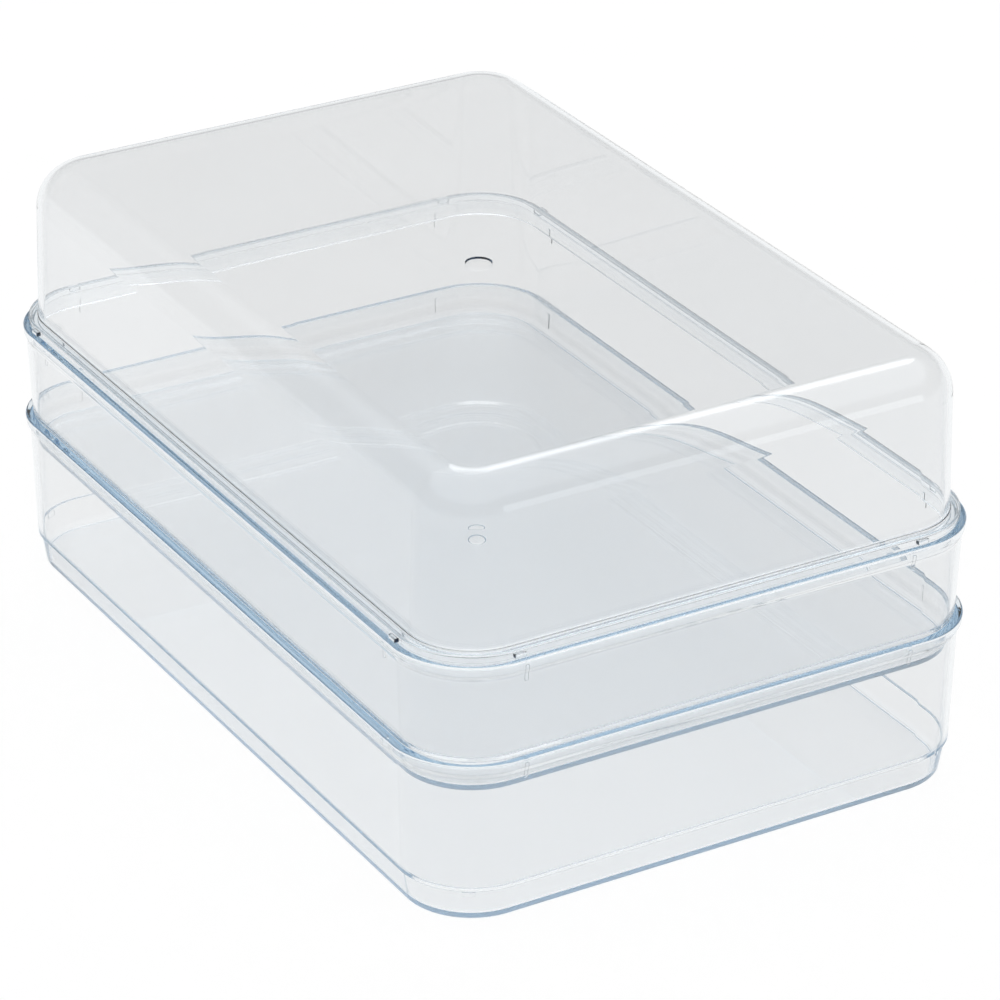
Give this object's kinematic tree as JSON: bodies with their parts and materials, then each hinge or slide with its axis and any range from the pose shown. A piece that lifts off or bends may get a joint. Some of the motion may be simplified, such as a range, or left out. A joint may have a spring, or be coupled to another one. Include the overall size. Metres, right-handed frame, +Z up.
{
  "type": "stacking fridge storage box",
  "caption": "Clear fridge storage box: a deep tray, a shallow tray nesting on its rim and a domed lid seated in the top mouth. Each piece lifts straight off.",
  "frame": {"origin": "bottom centre of the stack, on the underside of the deep tray", "axes": "+X along the long side, +Y along the short side, +Z up"},
  "size_m": [0.249, 0.1662, 0.1197],
  "materials": {
    "bottom_tray_styrene": "clear polished styrene",
    "middle_tray_styrene": "clear polished styrene",
    "lid_styrene": "clear polished styrene"
  },
  "bodies": {
    "bottom_tray": {"bottom_tray": "bottom_tray_styrene"},
    "middle_tray": {"middle_tray": "middle_tray_styrene"},
    "domed_lid": {"domed_lid": "lid_styrene"}
  },
  "joints": [
    {"name": "middle_tray_lift", "type": "slide", "parent": "bottom_tray", "child": "middle_tray", "axis": [0, 0, 1], "range_m": [0, 0.06]},
    {"name": "lid_lift", "type": "slide", "parent": "middle_tray", "child": "domed_lid", "axis": [0, 0, 1], "range_m": [0, 0.06]}
  ]
}
